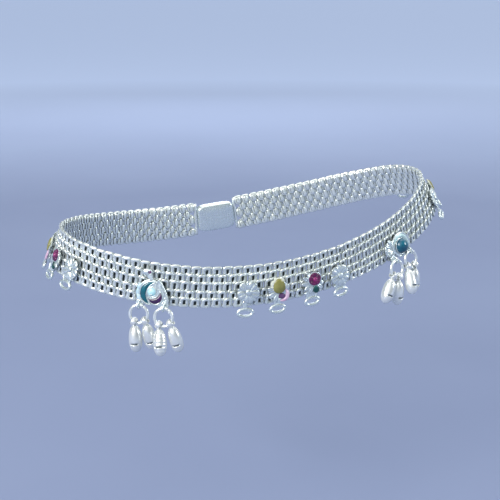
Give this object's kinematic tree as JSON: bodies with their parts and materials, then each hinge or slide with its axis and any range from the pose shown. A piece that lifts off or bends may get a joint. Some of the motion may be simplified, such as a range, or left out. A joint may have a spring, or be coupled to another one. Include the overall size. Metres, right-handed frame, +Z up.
{
  "type": "payal anklet",
  "caption": "Woven silver chain band that closes round an ankle, with enamelled plates, flower plates with loops, and small hanging bud drops.",
  "frame": {"origin": "middle of the ankle hollow, halfway up the band, where the ankle's axis passes through the loop", "axes": "+Z up along the ankle, +X to the heel, -X to the instep, -Y to the side of the ankle that carries the ornaments"},
  "size_m": [0.1073, 0.0682, 0.0329],
  "materials": {
    "aqua_enamel": "fired glossy enamel, pale aqua",
    "blue_enamel": "fired glossy enamel, deep blue",
    "drop_silver": "bright cast silver",
    "green_enamel": "fired glossy enamel, dark green",
    "magenta_enamel": "fired glossy enamel, magenta",
    "pink_enamel": "fired glossy enamel, pink",
    "plate_silver": "polished stamped silver",
    "purple_enamel": "fired glossy enamel, dark purple",
    "teal_enamel": "fired glossy enamel, teal",
    "wire_silver": "polished silver wire",
    "woven_silver": "bright silver links, softly polished",
    "yellow_enamel": "fired glossy enamel, yellow green"
  },
  "bodies": {
    "root": {"clasp": "plate_silver", "drop_back_1": "drop_silver", "drop_back_2": "drop_silver", "drop_back_3": "drop_silver", "drop_back_4": "drop_silver", "drop_front_1": "drop_silver", "drop_front_2": "drop_silver", "drop_front_3": "drop_silver", "drop_front_4": "drop_silver", "enamel_back_crescent": "aqua_enamel", "enamel_back_disc": "blue_enamel", "enamel_front_crescent": "teal_enamel", "enamel_front_disc": "aqua_enamel", "enamel_front_dot": "purple_enamel", "enamel_front_petal": "purple_enamel", "enamel_heel_2_pink": "pink_enamel", "enamel_heel_2_yellow": "yellow_enamel", "enamel_heel_3_green": "green_enamel", "enamel_heel_3_magenta": "magenta_enamel", "enamel_instep_2_pink": "pink_enamel", "enamel_instep_2_yellow": "yellow_enamel", "enamel_instep_3_green": "green_enamel", "enamel_instep_3_magenta": "magenta_enamel", "enamel_side_2_pink": "pink_enamel", "enamel_side_2_yellow": "yellow_enamel", "enamel_side_3_green": "green_enamel", "enamel_side_3_magenta": "magenta_enamel", "flower_heel_1": "plate_silver", "flower_heel_2": "plate_silver", "flower_heel_3": "plate_silver", "flower_heel_4": "plate_silver", "flower_instep_1": "plate_silver", "flower_instep_2": "plate_silver", "flower_instep_3": "plate_silver", "flower_instep_4": "plate_silver", "flower_side_1": "plate_silver", "flower_side_2": "plate_silver", "flower_side_3": "plate_silver", "flower_side_4": "plate_silver", "jump_ring_back_1": "wire_silver", "jump_ring_back_2": "wire_silver", "jump_ring_front_1": "wire_silver", "jump_ring_front_2": "wire_silver", "motif_back": "plate_silver", "motif_front": "plate_silver", "woven_band": "woven_silver"}
  },
  "joints": []
}
